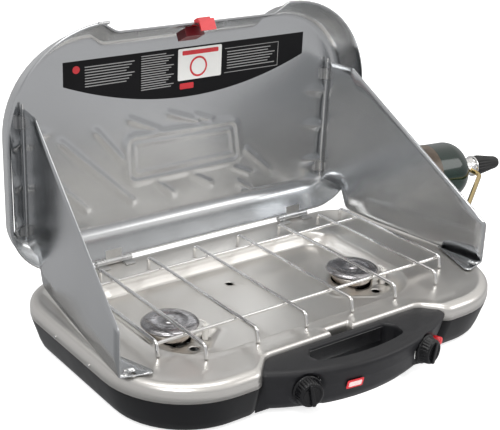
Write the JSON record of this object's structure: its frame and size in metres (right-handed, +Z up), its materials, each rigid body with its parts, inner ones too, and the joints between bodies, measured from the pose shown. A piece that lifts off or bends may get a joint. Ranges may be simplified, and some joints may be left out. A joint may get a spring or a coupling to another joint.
{
  "type": "camping stove",
  "caption": "Open tabletop gas camping stove with lid, side wind screens, wire grate, ring burners, grip panel with dials and a gas bottle on a side tube.",
  "frame": {"origin": "on the surface the feet stand on, under the middle of the stove's base", "axes": "+X along the front to the cook's right, towards the gas bottle, +Y from front to back, +Z up"},
  "size_m": [0.9466, 0.5039, 0.3846],
  "materials": {
    "tray_black": "satin black paint",
    "rubber_black": "matt moulded rubber",
    "cooktop_steel": "warm satin silver enamel",
    "panel_plastic": "fine textured charcoal plastic",
    "bright_steel": "bright rolled strip",
    "badge_red": "printed red badge with a pale middle",
    "knob_plastic": "black moulded plastic",
    "brass": "turned brass",
    "burner_steel": "pressed steel, a little heat tinted",
    "cap_steel": "dark polished steel",
    "zinc": "zinc plated steel",
    "igniter_red": "bright red moulded plastic",
    "ceramic": "glazed white ceramic",
    "wire_black": "silicone insulation",
    "grate_chrome": "nickel-chrome plated wire",
    "lid_metal": "polished grey metal",
    "label_black": "black printed film",
    "label_white": "white printed film",
    "latch_dark": "dark red plastic",
    "screen_metal": "polished grey sheet",
    "regulator_chrome": "polished die casting",
    "cap_plastic": "black ribbed plastic",
    "bottle_green": "dark green gloss paint",
    "bottle_band": "brown printed band"
  },
  "bodies": {
    "base": {"base_tray": "tray_black", "rubber_feet": "rubber_black", "cooktop_pan": "cooktop_steel", "pan_screws": "zinc", "front_panel": "panel_plastic", "grip_strip": "bright_steel", "panel_badge": "badge_red", "valve_left": "brass", "valve_right": "brass", "manifold_pipe": "brass", "inlet_fitting": "brass", "burner_tube_left": "zinc", "burner_tube_right": "zinc", "burner_bowl_left": "burner_steel", "burner_bowl_right": "burner_steel", "burner_ring_left": "burner_steel", "burner_ring_right": "burner_steel", "burner_cap_left": "cap_steel", "burner_cap_right": "cap_steel", "cap_screws": "zinc", "burner_bracket_left": "zinc", "burner_bracket_right": "zinc", "igniter_spring": "zinc", "igniter_body": "ceramic", "electrode_left": "ceramic", "electrode_right": "ceramic", "ignition_leads": "wire_black", "base_knuckles": "lid_metal", "hinge_pin": "zinc"},
    "lid": {"lid_shell": "lid_metal", "lid_knuckles": "lid_metal", "lid_label": "label_black", "label_panel": "label_white", "latch_housing": "latch_dark", "screen_clips_left": "zinc", "screen_clips_right": "zinc"},
    "latch": {"latch_slide": "igniter_red"},
    "screen_left": {"windscreen_left": "screen_metal", "screen_wire_left": "grate_chrome"},
    "screen_right": {"windscreen_right": "screen_metal", "screen_wire_right": "grate_chrome"},
    "dial_left": {"knob_left": "knob_plastic", "stem_left": "brass"},
    "dial_right": {"knob_right": "knob_plastic", "stem_right": "brass"},
    "igniter": {"igniter_button": "igniter_red"},
    "grate": {"grate_bars": "grate_chrome", "grate_crossbars": "grate_chrome"},
    "regulator": {"tube_plug": "brass", "regulator_tube": "brass", "regulator_body": "regulator_chrome", "regulator_cap": "cap_plastic"},
    "bottle": {"gas_bottle": "bottle_green", "bottle_collar": "rubber_black", "bottle_label": "bottle_band"}
  },
  "joints": [
    {"name": "lid_hinge", "type": "hinge", "parent": "base", "child": "lid", "pos_m": [0, 0.162, 0.0696], "axis": [-1, 0, 0], "range_deg": [0, 28]},
    {"name": "latch_slide", "type": "slide", "parent": "lid", "child": "latch", "axis": [-1, 0, 0], "range_m": [0, 0.016]},
    {"name": "screen_left_fold", "type": "hinge", "parent": "lid", "child": "screen_left", "pos_m": [-0.242, 0.19946, 0.0666], "axis": [0, -0.0175, 0.9998], "range_deg": [-15, 4]},
    {"name": "screen_right_fold", "type": "hinge", "parent": "lid", "child": "screen_right", "pos_m": [0.242, 0.19946, 0.0666], "axis": [0, -0.0175, 0.9998], "range_deg": [-4, 15]},
    {"name": "knob_left_turn", "type": "hinge", "parent": "base", "child": "dial_left", "pos_m": [-0.095, -0.18731, 0.036], "axis": [-0.2079, -0.9781, 0], "range_deg": [0, 270]},
    {"name": "knob_right_turn", "type": "hinge", "parent": "base", "child": "dial_right", "pos_m": [0.083, -0.19161, 0.036], "axis": [0.2079, -0.9781, 0], "range_deg": [0, 270]},
    {"name": "igniter_press", "type": "slide", "parent": "base", "child": "igniter", "axis": [-0.4067, 0.9135, 0], "range_m": [0, 0.004], "stiffness_N_per_m": 800, "deforming": ["igniter_spring"]},
    {"name": "grate_lift", "type": "hinge", "parent": "base", "child": "grate", "pos_m": [0, 0.124, 0.0688], "axis": [-1, 0, 0], "range_deg": [0, 60]},
    {"name": "gas_plug", "type": "slide", "parent": "base", "child": "regulator", "axis": [1, 0, 0], "range_m": [0, 0.03]},
    {"name": "bottle_screw", "type": "hinge", "parent": "regulator", "child": "bottle", "pos_m": [0.592, 0.219, 0.0498], "axis": [0.9919, -0.1271, 0], "range_deg": [0, 360]}
  ]
}
